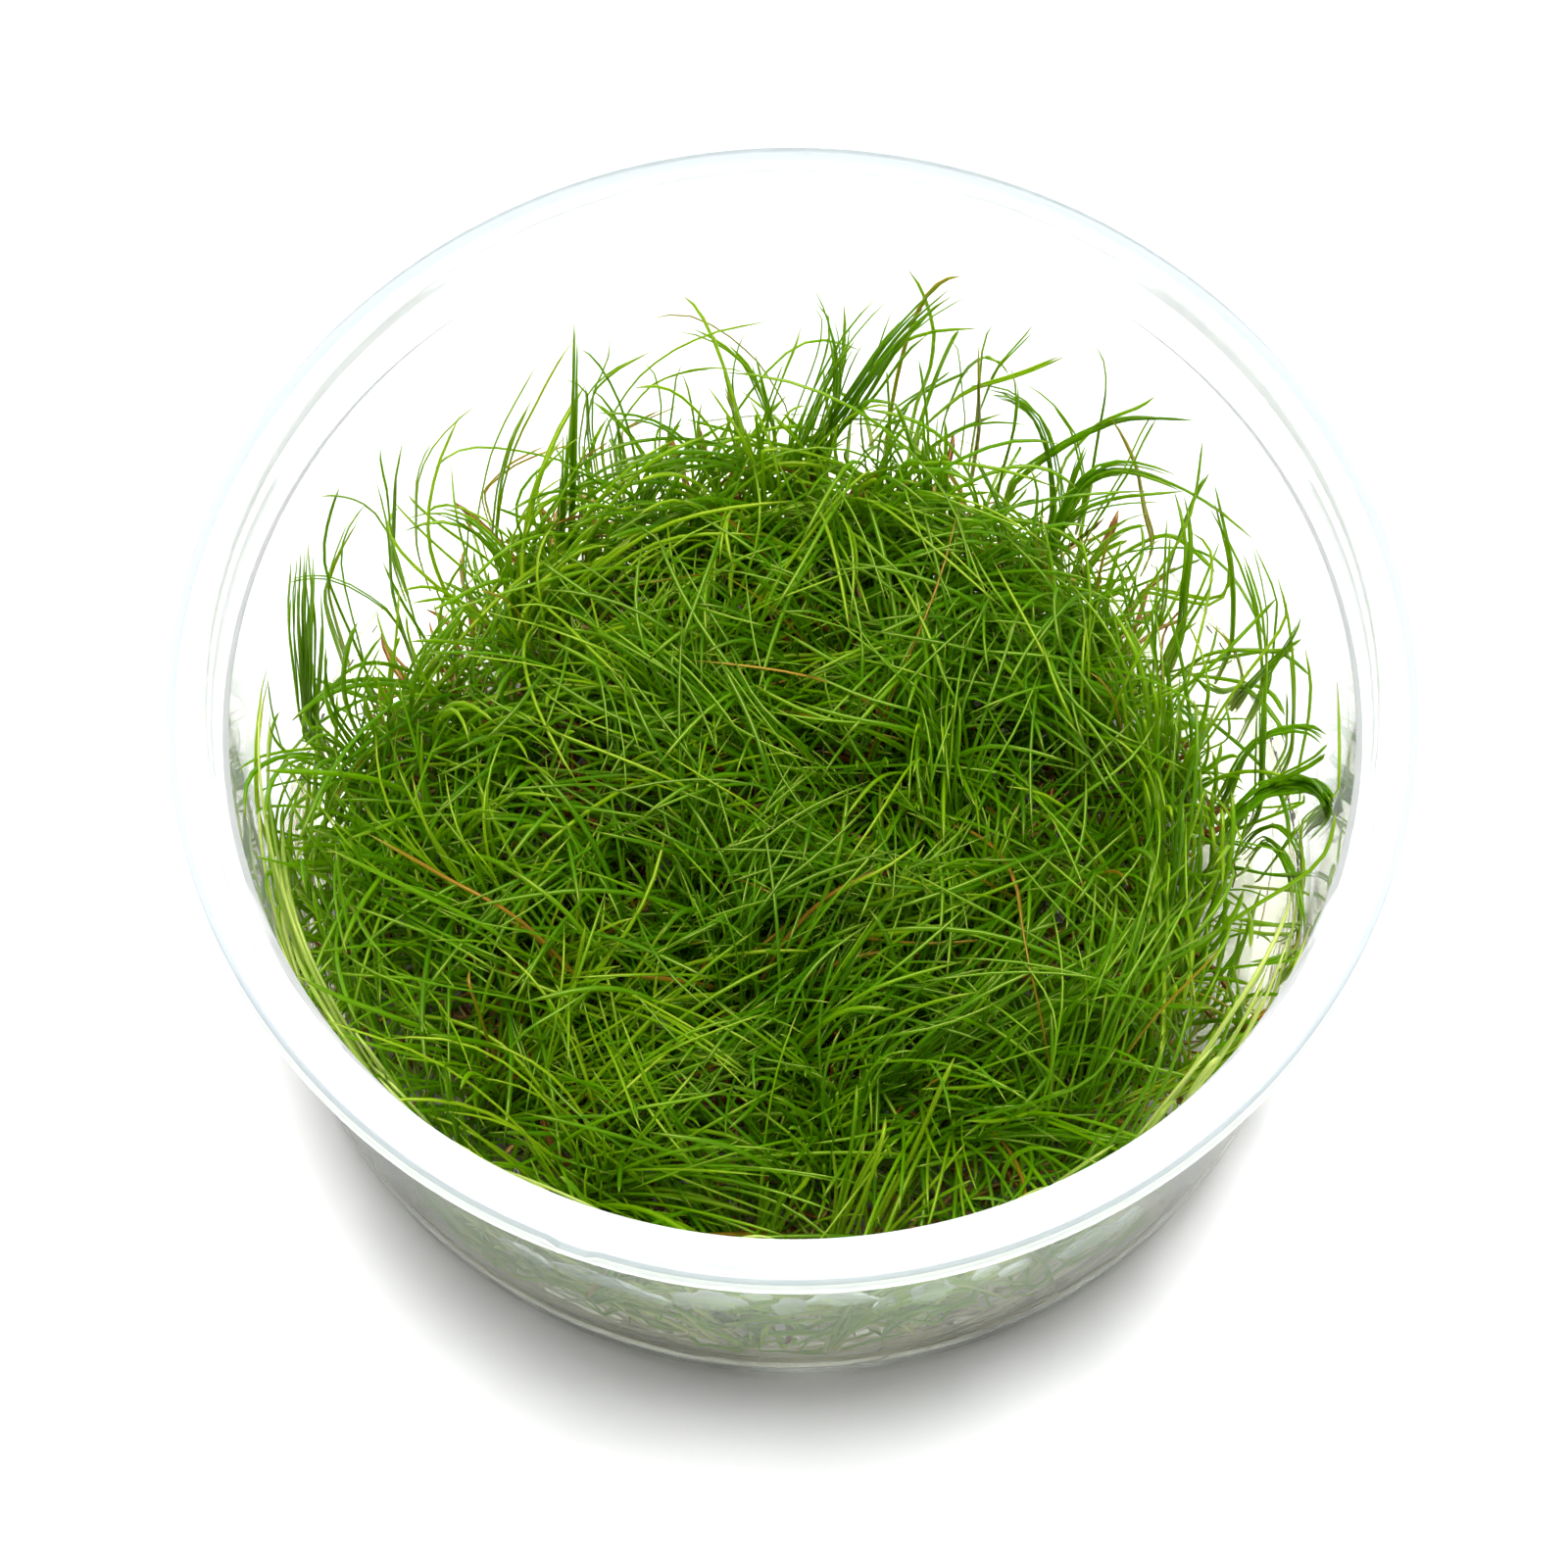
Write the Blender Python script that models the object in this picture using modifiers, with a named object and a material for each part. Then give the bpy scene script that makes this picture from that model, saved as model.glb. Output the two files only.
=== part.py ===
"""Dwarf hairgrass growing in a round polypropylene in vitro cup, in metres, +Z up.

The origin is the middle of the cup's underside, and -Y is the front. The cup is one moulding: a tapered
body on a foot ring, a stacking ledge, a collar with a sealing lip, and a flange with an upturned edge
that has one tear notch. A disc of nutrient gel lies in it, and the plantlets stand on the gel. Each
plantlet is one solid: a crown from which locks of leaves grow, and every lock keeps clear of the
plantlets round it, of the wall and of the free space under the mouth.
"""

import math
import random

import bmesh
import bpy
import numpy as np
from mathutils import Matrix, Vector

MM = 0.001

# The cup
CUP_HEIGHT = 41.0 * MM
LIP_INNER_RADIUS = 44.67 * MM
LIP_THICKNESS = 0.63 * MM
COLLAR_FOOT_RADIUS = 44.3 * MM
COLLAR_FOOT_HEIGHT = 36.0 * MM
LEDGE_RADIUS = 43.28 * MM
LEDGE_HEIGHT = 35.46 * MM
WALL = 0.62 * MM
BASE_RADIUS = 41.6 * MM
BASE_CORNER = 2.2 * MM
FLOOR_TOP = 1.3 * MM
FOOT_RING_WIDTH = 1.7 * MM
FOOT_RING_HEIGHT = 0.6 * MM
FLANGE_RADIUS = 48.0 * MM
FLANGE_TOP = 38.1 * MM
FLANGE_THICKNESS = 0.6 * MM
FLANGE_EDGE_TOP = 39.2 * MM
FLANGE_EDGE_WIDTH = 0.8 * MM
NOTCH_WIDTH = 3.2 * MM
NOTCH_DEPTH = 2.2 * MM
NOTCH_HEIGHT = 2.0 * MM
NOTCH_FLOOR = 0.2 * MM
NOTCH_AZIMUTH = math.radians(250.5)
TURNED_STEPS = 48

# The nutrient gel
GEL_TOP = 5.5 * MM
GAP = 0.3 * MM

# The plantlets
PLANTLETS = 42
MAT_RADIUS = 38.4 * MM
CROWN_RADIUS = 1.25 * MM
CROWN_FACE_RADIUS = 0.607 * CROWN_RADIUS
UPPER_LOCKS = 5
SIDE_LOCKS = 4
UPPER_STEPS = 3
SIDE_STEPS = 2
LOCK_TIP_WIDTH = 0.15
LOCK_TRIES = 60
LOCK_LENGTHS = (15.0 * MM, 34.0 * MM)
SHORTEST_SHARE = 0.5
WALL_CLEARANCE = 1.0 * MM
LOCK_CLEARANCE = 0.35 * MM
MIDDLE_HEIGHT = 24.0 * MM
MIDDLE_REACH = 27.5 * MM
EDGE_HEIGHT = 32.5 * MM
EDGE_BELT = 12.0 * MM
SEED = 41

GREENS = ((0.045, 0.17, 0.006), (0.07, 0.22, 0.01), (0.03, 0.13, 0.006))


def clear_scene():
    for obj in list(bpy.data.objects):
        bpy.data.objects.remove(obj, do_unlink=True)


def new_collection(name):
    collection = bpy.data.collections.new(name)
    bpy.context.scene.collection.children.link(collection)
    return collection


def material(name, colour, roughness, alpha=1.0, transmission=0.0, ior=1.45):
    made = bpy.data.materials.new(name)
    made.use_nodes = True
    made.diffuse_color = (*colour, alpha)
    shader = made.node_tree.nodes["Principled BSDF"]
    shader.inputs["Base Color"].default_value = (*colour, 1.0)
    shader.inputs["Roughness"].default_value = roughness
    shader.inputs["Metallic"].default_value = 0.0
    shader.inputs["Transmission Weight"].default_value = transmission
    shader.inputs["IOR"].default_value = ior
    return made


def arc(centre, radius, start, end, steps):
    """Points of a circular arc in the (radius, height) plane, with its angles in degrees."""
    points = []
    for step in range(steps + 1):
        angle = math.radians(start + (end - start) * step / steps)
        points.append((centre[0] + radius * math.cos(angle), centre[1] + radius * math.sin(angle)))
    return points


def inner_radius(height):
    """The radius of the body's inner wall, which tapers from the ledge down to the floor."""
    share = height / LEDGE_HEIGHT
    return (BASE_RADIUS - WALL) * (1 - share) + LEDGE_RADIUS * share


def cup_profile():
    """The cup's section, from the middle of its floor up the inside and down the outside to its underside."""
    inner_corner = BASE_CORNER - WALL
    corner_height = FLOOR_TOP + inner_corner
    inside = [(0.0, FLOOR_TOP)]
    inside += arc((inner_radius(corner_height) - inner_corner, corner_height), inner_corner, -90, 0, 2)
    inside.append((LEDGE_RADIUS, LEDGE_HEIGHT))
    inside.append((COLLAR_FOOT_RADIUS, COLLAR_FOOT_HEIGHT))

    half_lip = LIP_THICKNESS / 2
    lip = arc((LIP_INNER_RADIUS + half_lip, CUP_HEIGHT - half_lip), half_lip, 180, 0, 4)

    edge_inner = FLANGE_RADIUS - FLANGE_EDGE_WIDTH
    edge_radius = FLANGE_EDGE_WIDTH / 2
    edge_centre = (FLANGE_RADIUS - edge_radius, FLANGE_EDGE_TOP - edge_radius)
    flange = [(LIP_INNER_RADIUS + LIP_THICKNESS, FLANGE_TOP), (edge_inner, FLANGE_TOP)]
    flange += arc(edge_centre, edge_radius, 180, 0, 3)
    flange.append((FLANGE_RADIUS, FLANGE_TOP))
    flange.append((edge_inner, FLANGE_TOP - FLANGE_THICKNESS))

    collar_outer = COLLAR_FOOT_RADIUS + WALL
    below_flange = [
        (collar_outer, FLANGE_TOP - FLANGE_THICKNESS),
        (collar_outer, COLLAR_FOOT_HEIGHT - WALL / 2),
        (LEDGE_RADIUS + WALL, LEDGE_HEIGHT - WALL),
    ]

    outside = arc((BASE_RADIUS - BASE_CORNER, BASE_CORNER), BASE_CORNER, 0, -90, 3)
    ring_inner = BASE_RADIUS - BASE_CORNER - FOOT_RING_WIDTH
    foot = [
        (ring_inner, 0.0),
        (ring_inner - FOOT_RING_HEIGHT, FOOT_RING_HEIGHT),
        (0.0, FOOT_RING_HEIGHT),
    ]
    return inside + lip + flange + below_flange + outside + foot


def turned(name, profile, collection):
    """Turns a profile about Z with a Screw modifier."""
    mesh = bpy.data.meshes.new(name)
    points = [(radius, 0.0, height) for radius, height in profile]
    mesh.from_pydata(points, [(i, i + 1) for i in range(len(points) - 1)], [])
    obj = bpy.data.objects.new(name, mesh)
    collection.objects.link(obj)
    screw = obj.modifiers.new("Turn", "SCREW")
    screw.axis = "Z"
    screw.steps = TURNED_STEPS
    screw.render_steps = TURNED_STEPS
    screw.use_merge_vertices = True
    screw.merge_threshold = 0.00001
    screw.use_smooth_shade = True
    return obj


def make_notch_cutter(collection):
    """The block that cuts the tear notch. Its inner face stands where the flange's upturned edge starts."""
    bpy.ops.mesh.primitive_cube_add(size=1.0)
    cutter = bpy.context.object
    cutter.name = "notch_cutter"
    cutter.scale = (NOTCH_DEPTH, NOTCH_WIDTH, NOTCH_HEIGHT)
    middle = FLANGE_RADIUS - FLANGE_EDGE_WIDTH + NOTCH_DEPTH / 2
    height = FLANGE_TOP + NOTCH_FLOOR + NOTCH_HEIGHT / 2
    cutter.location = (middle * math.cos(NOTCH_AZIMUTH), middle * math.sin(NOTCH_AZIMUTH), height)
    cutter.rotation_euler = (0.0, 0.0, NOTCH_AZIMUTH)
    cutter.hide_render = True
    cutter.display_type = "WIRE"
    for other in list(cutter.users_collection):
        other.objects.unlink(cutter)
    collection.objects.link(cutter)
    return cutter


def make_cup(collection, cutters):
    cup = turned("cup", cup_profile(), collection)
    look = material("clear_polypropylene", (0.93, 0.96, 0.97), 0.2, 0.35, transmission=0.85, ior=1.49)
    cup.data.materials.append(look)
    cut = cup.modifiers.new("Tear notch", "BOOLEAN")
    cut.operation = "DIFFERENCE"
    cut.solver = "EXACT"
    cut.object = make_notch_cutter(cutters)


def make_gel(collection):
    """The disc of set nutrient gel. It fills the foot of the cup, a gap clear of the floor and the wall."""
    low = FLOOR_TOP + GAP
    corner = BASE_CORNER - WALL
    corner_middle = (inner_radius(low) - GAP - corner, low + corner)
    profile = [(0.0, GEL_TOP), (inner_radius(GEL_TOP) - GAP, GEL_TOP)]
    profile += arc(corner_middle, corner, 0, -90, 2)
    profile.append((0.0, low))
    gel = turned("nutrient_gel", profile, collection)
    look = material("nutrient_gel", (0.93, 0.93, 0.84), 0.05, 0.4, transmission=1.0, ior=1.34)
    gel.data.materials.append(look)


def crown_places():
    """Where the plantlets stand on the gel: along a sunflower's spiral, which spaces them evenly."""
    golden_angle = math.pi * (3 - math.sqrt(5))
    height = GEL_TOP + GAP + CROWN_RADIUS
    places = []
    for index in range(PLANTLETS):
        radius = MAT_RADIUS * math.sqrt((index + 0.5) / PLANTLETS)
        angle = index * golden_angle
        places.append(Vector((radius * math.cos(angle), radius * math.sin(angle), height)))
    return places


def highest(radius):
    """How high leaves may reach at this distance from the axis: lower in the middle, under the open mouth."""
    share = (radius - MIDDLE_REACH) / (inner_radius(EDGE_HEIGHT) - MIDDLE_REACH)
    return MIDDLE_HEIGHT + (EDGE_HEIGHT - MIDDLE_HEIGHT) * min(max(share, 0.0), 1.0)


def lock_width(share):
    """The half width of a lock of leaves at this share of its length: full at its root, fine at its tip."""
    return CROWN_FACE_RADIUS * (1.0 - 0.35 * share - (0.65 - LOCK_TIP_WIDTH) * share**3)


class Packing:
    """The tapered rods that stand so far, each from one end to the other with a half width at both."""

    def __init__(self):
        self.ends = np.zeros((0, 2, 3))
        self.widths = np.zeros((0, 2))
        self.owners = np.zeros(0, dtype=int)

    def add(self, ends, widths, owner):
        self.ends = np.concatenate([self.ends, ends])
        self.widths = np.concatenate([self.widths, widths])
        self.owners = np.concatenate([self.owners, np.full(len(ends), owner)])

    def has_room(self, ends, widths, owner):
        """True if rods keep the clearance to all others. Where they share a crown, their roots may meet."""
        own = self.owners == owner
        others = self.ends.copy()
        others[own, 0] += (others[own, 1] - others[own, 0]) * 0.4
        trimmed = ends.copy()
        trimmed[0, 0] += (trimmed[0, 1] - trimmed[0, 0]) * 0.4
        apart = rod_gaps(ends, widths, others[~own], self.widths[~own])
        together = rod_gaps(trimmed, widths, others[own], self.widths[own])
        return min(apart.min(initial=1.0), together.min(initial=1.0)) > LOCK_CLEARANCE


def rod_gaps(ends_a, widths_a, ends_b, widths_b):
    """The gap between each tapered rod of one set and each of another, where their axes come closest."""
    start_a = ends_a[:, None, 0]
    start_b = ends_b[None, :, 0]
    run_a = ends_a[:, None, 1] - start_a
    run_b = ends_b[None, :, 1] - start_b
    apart = start_a - start_b
    aa = np.maximum((run_a * run_a).sum(-1), 1e-14)
    bb = np.maximum((run_b * run_b).sum(-1), 1e-14)
    ab = (run_a * run_b).sum(-1)
    a_apart = (run_a * apart).sum(-1)
    b_apart = (run_b * apart).sum(-1)
    share_a = np.clip((ab * b_apart - a_apart * bb) / np.maximum(aa * bb - ab * ab, 1e-20), 0.0, 1.0)
    share_b = np.clip((ab * share_a + b_apart) / bb, 0.0, 1.0)
    share_a = np.clip((ab * share_b - a_apart) / aa, 0.0, 1.0)
    nearest = apart + run_a * share_a[..., None] - run_b * share_b[..., None]
    width_a = widths_a[:, None, 0] + (widths_a[:, None, 1] - widths_a[:, None, 0]) * share_a
    width_b = widths_b[None, :, 0] + (widths_b[None, :, 1] - widths_b[None, :, 0]) * share_b
    return np.sqrt((nearest * nearest).sum(-1)) - width_a - width_b


def lock_path(start, azimuth, tilt, bend, length, steps):
    """The axis of a lock that leaves its crown at a tilt from upright and bends over, inside the wall."""
    point = start.copy()
    path = [point.copy()]
    for step in range(steps):
        lean = tilt + bend * step / (steps - 1)
        flat = math.sin(lean)
        run = Vector((flat * math.cos(azimuth), flat * math.sin(azimuth), math.cos(lean)))
        point += run * (length / steps)
        reach = math.hypot(point.x, point.y)
        limit = inner_radius(point.z) - WALL_CLEARANCE
        if reach > limit:
            point.x *= limit / reach
            point.y *= limit / reach
        path.append(point.copy())
    return path


def inside_the_cup(path):
    above = any(point.z > highest(math.hypot(point.x, point.y)) for point in path)
    below = any(point.z < GEL_TOP + GAP + CROWN_FACE_RADIUS for point in path)
    return not above and not below


def choose_path(centre, direction, upright, owner, packing, rng):
    """Looks for a free path from one face of a crown, with a shorter lock at each try. None if none is."""
    steps = UPPER_STEPS if upright else SIDE_STEPS
    shares = [step / steps for step in range(steps + 1)]
    widths = np.array([[lock_width(a), lock_width(b)] for a, b in zip(shares, shares[1:])])
    out_angle = math.atan2(centre.y, centre.x)
    by_the_wall = math.hypot(centre.x, centre.y) > MAT_RADIUS - EDGE_BELT
    start = centre + direction * CROWN_RADIUS * 0.8
    for attempt in range(LOCK_TRIES):
        azimuth = math.atan2(direction.y, direction.x) + math.radians(rng.uniform(-28, 28))
        tilt = math.radians(rng.uniform(8, 40) if upright else rng.uniform(46, 66))
        bend = math.radians(rng.uniform(5, 60) if upright else rng.uniform(-25, 20))
        length = rng.uniform(*LOCK_LENGTHS) * (1 - SHORTEST_SHARE * attempt / LOCK_TRIES)
        if by_the_wall and math.cos(azimuth - out_angle) > 0.2:
            tilt *= 0.5
            bend *= 0.3
        path = lock_path(start, azimuth, tilt, bend, length, steps)
        ends = np.array([[tuple(a), tuple(b)] for a, b in zip(path, path[1:])])
        if inside_the_cup(path) and packing.has_room(ends, widths, owner):
            packing.add(ends, widths, owner)
            return path
    return None


def grow_lock(mesh, face, path):
    """Extrudes one face of the crown along a path, narrower at each step, to the tip of the lock."""
    steps = len(path) - 1
    for step in range(1, steps + 1):
        ahead = path[min(step + 1, steps)] - path[step - 1]
        face = bmesh.ops.extrude_discrete_faces(mesh, faces=[face])["faces"][0]
        face.normal_update()
        middle = face.calc_center_median()
        turn = face.normal.rotation_difference(ahead.normalized()).to_matrix()
        scale = lock_width(step / steps) / (face.verts[0].co - middle).length
        for vertex in face.verts:
            vertex.co = path[step] + turn @ (vertex.co - middle) * scale


def make_plantlet(name, centre, owner, packing, collection, look, rng):
    """One plantlet: an icosahedral crown with locks of leaves on its upper faces and on some side ones."""
    mesh = bmesh.new()
    spin = Matrix.Rotation(rng.uniform(0, math.tau), 4, "Z")
    bmesh.ops.create_icosphere(mesh, subdivisions=1, radius=CROWN_RADIUS, matrix=spin)
    bmesh.ops.translate(mesh, verts=mesh.verts, vec=centre)
    mesh.normal_update()
    upper = [face for face in mesh.faces if face.normal.z > 0.5][:UPPER_LOCKS]
    side = [face for face in mesh.faces if 0.0 < face.normal.z <= 0.5]
    rng.shuffle(side)
    growing = [(face, True) for face in upper] + [(face, False) for face in side[:SIDE_LOCKS]]
    paths = [choose_path(centre, face.normal.copy(), up, owner, packing, rng) for face, up in growing]
    for (face, _), path in zip(growing, paths):
        if path:
            grow_lock(mesh, face, path)
    bmesh.ops.recalc_face_normals(mesh, faces=mesh.faces)
    data = bpy.data.meshes.new(name)
    mesh.to_mesh(data)
    mesh.free()
    data.materials.append(look)
    collection.objects.link(bpy.data.objects.new(name, data))


def make_plantlets(collection):
    rng = random.Random(SEED)
    looks = [material(f"leaf_green_{i + 1}", colour, 0.4) for i, colour in enumerate(GREENS)]
    crowns = crown_places()
    packing = Packing()
    for owner, centre in enumerate(crowns):
        ball = np.array([[tuple(centre), tuple(centre)]])
        packing.add(ball, np.full((1, 2), CROWN_RADIUS), owner)
    for owner, centre in enumerate(crowns):
        name = f"plantlet_{owner + 1:02d}"
        make_plantlet(name, centre, owner, packing, collection, looks[owner % len(looks)], rng)


def main():
    clear_scene()
    model = new_collection("Dwarf hairgrass in vitro cup")
    cutters = new_collection("Cutters")
    make_cup(model, cutters)
    make_gel(model)
    make_plantlets(model)


main()
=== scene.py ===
"""Dwarf hairgrass in an in vitro cup: the finish of the cup, gel, leaves and roots.

Laid out as an add-on and run as a script. Lengths in the settings are metres, and -Y is the front.
"""

import math

import bmesh
import bpy
import numpy as np
from bpy.props import FloatProperty, IntProperty, PointerProperty, StringProperty
from mathutils import Matrix, Vector


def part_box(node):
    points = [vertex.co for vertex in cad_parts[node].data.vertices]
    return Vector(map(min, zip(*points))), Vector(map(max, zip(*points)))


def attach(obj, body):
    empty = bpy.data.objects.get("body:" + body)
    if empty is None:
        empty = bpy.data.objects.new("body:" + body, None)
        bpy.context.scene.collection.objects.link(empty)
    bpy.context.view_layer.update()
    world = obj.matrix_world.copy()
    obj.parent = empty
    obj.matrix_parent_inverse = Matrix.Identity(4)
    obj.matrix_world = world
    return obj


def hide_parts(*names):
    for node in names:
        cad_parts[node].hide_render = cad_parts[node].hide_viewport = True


bl_info = {
    "name": "Hairgrass cup",
    "version": (1, 0, 0),
    "blender": (4, 5, 0),
    "location": "3D View > Sidebar > Hairgrass cup",
    "description": "Builds the cup, the gel and the leaves of a tissue-cultured hairgrass",
    "category": "Add Mesh",
}

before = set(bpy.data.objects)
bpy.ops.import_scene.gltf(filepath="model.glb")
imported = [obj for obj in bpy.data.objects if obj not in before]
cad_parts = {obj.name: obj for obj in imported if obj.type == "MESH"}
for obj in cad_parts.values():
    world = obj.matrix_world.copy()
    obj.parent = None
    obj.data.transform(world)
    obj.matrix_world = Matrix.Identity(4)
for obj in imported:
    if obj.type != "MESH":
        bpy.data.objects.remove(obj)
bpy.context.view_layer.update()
CUP_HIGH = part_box("cup")[1]
GEL_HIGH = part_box("nutrient_gel")[1]

MM = 0.001
PLANTLETS = sorted(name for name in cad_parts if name.startswith("plantlet_"))

# The cup's smaller sizes
COLLAR_FOOT_RADIUS = 44.3 * MM
COLLAR_FOOT_HEIGHT = 36.0 * MM
BASE_CORNER = 2.2 * MM
FLOOR_TOP = 1.3 * MM
FOOT_RING_WIDTH = 1.7 * MM
FOOT_RING_HEIGHT = 0.6 * MM
FLANGE_RADIUS = CUP_HIGH.x
FLANGE_TOP = 38.1 * MM
FLANGE_THICKNESS = 0.6 * MM
FLANGE_EDGE_TOP = 39.2 * MM
FLANGE_EDGE_WIDTH = 0.8 * MM
NOTCH_WIDTH = 3.2 * MM
NOTCH_FLOOR = 0.2 * MM
NOTCH_AZIMUTH = math.radians(250.5)
CUP_STEPS = 288

# How high the leaves reach, as the solids do
MIDDLE_HEIGHT = 24.0 * MM
MIDDLE_REACH = 27.5 * MM
EDGE_HEIGHT = 32.5 * MM
DENSE_RADIUS = 34.0 * MM
WALL_LEAF_AZIMUTHS = (205, 322)
DEAD_SHARE = 0.02
MAT_EDGE = 33.0 * MM
FREE_SHARE = 0.12
CROWD_AZIMUTHS = (0, 60, 150, 180, 235, 300, 330, 360)
CROWD_SHARES = (0.05, 0.0, 0.0, 0.7, 1.0, 1.0, 0.3, 0.05)
# Tone added to leaves towards the mat's edge: painted light, for leaves lit through against the white of the
# cup
EDGE_PAINTED_LIGHT = 0.16
TUFT_LEAVES = 11
TUFT_RADIUS = 1.0 * MM
ARCHING_SHARE = 0.6
LEAF_RINGS = 14
LEAF_SIDES = 4
ROOT_RINGS = 12
ROOT_SIDES = 4
ROOT_AZIMUTHS = (180, 350)
SECTORS = ("middle_left", "middle_right", "front", "right", "back", "left")
LITTER_RINGS = 9
MIDDLE_SECTOR_RADIUS = 21.0 * MM
GEL_BITE = 0.05 * MM
ROOT_DEPTH = 0.3 * MM
WALL_MARGIN = 0.3 * MM
LITTER_MARGIN = 0.5 * MM
TINY = 1e-12

# How far the mat's edge wanders from leaf to leaf in mm, and over how much leaves bend up or flatten
EDGE_WANDER = (-6.0, 2.5)
EDGE_CROWD_REACH = 12.0 * MM
EDGE_SOFTNESS = 5.0 * MM
HEIGHT_SOFTNESS = 3.0 * MM

# The bead's inner side, from the flange's edge, and how near a height has to be to count as the flange's top;
# they bound the painted shade on the flange and in the bead
BEAD_INSIDE = 0.02 * MM
BEAD_OUTSIDE = 0.55 * MM
NEAR_FLANGE = 0.1 * MM

# Clear materials: how they bend light, how much of the milk's light goes on and how much the shadow gets
MILKY_IOR = 1.15
GEL_IOR = 1.2
MILK_LETS_PASS = 0.6
MILKY_SHADOW_LIGHT = 0.92
GEL_SHADOW_LIGHT = 0.985

# Leaves and roots: the ramp of their tones, the colours at their root and tip, and the colour and share of
# the light that comes through. The last tones of a fresh leaf are those of a dead one.
LEAF_LOOKS = {
    "fresh_wet_leaf": (
        {0.0: "#286c00", 0.3: "#4a8a00", 0.55: "#6c9e02", 0.82: "#98b616", 0.9: "#b8742a", 1.0: "#8a3f18"},
        "#cfc78a",
        "#6d7a2a",
        "#dcff2c",
        0.5,
    ),
    # The wall leaves' look is a lighter copy of the leaf greens: painted light, for the light that reaches
    # them through the wall
    "wet_leaf_painted_lit": ({0.0: "#86a838", 1.0: "#d6e484"}, "#f0e9c4", "#c4d068", "#f2ffb0", 0.5),
    "old_leaf": ({0.0: "#6f3516", 0.5: "#a5602c", 1.0: "#c9a868"}, "#b8a070", "#7a4a20", "#e0a050", 0.25),
    # A root's low tones are the dark olive of the felt, partly old roots and partly painted shade under the
    # mat; its high tones are the cream of live roots
    "pale_root": (
        {0.0: "#4f4c22", 0.4: "#6f6236", 0.6: "#e6dfc4", 1.0: "#fdfaf0"},
        "#e6dcb4",
        "#f6f1e0",
        "#fffaf0",
        0.4,
    ),
}
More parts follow.
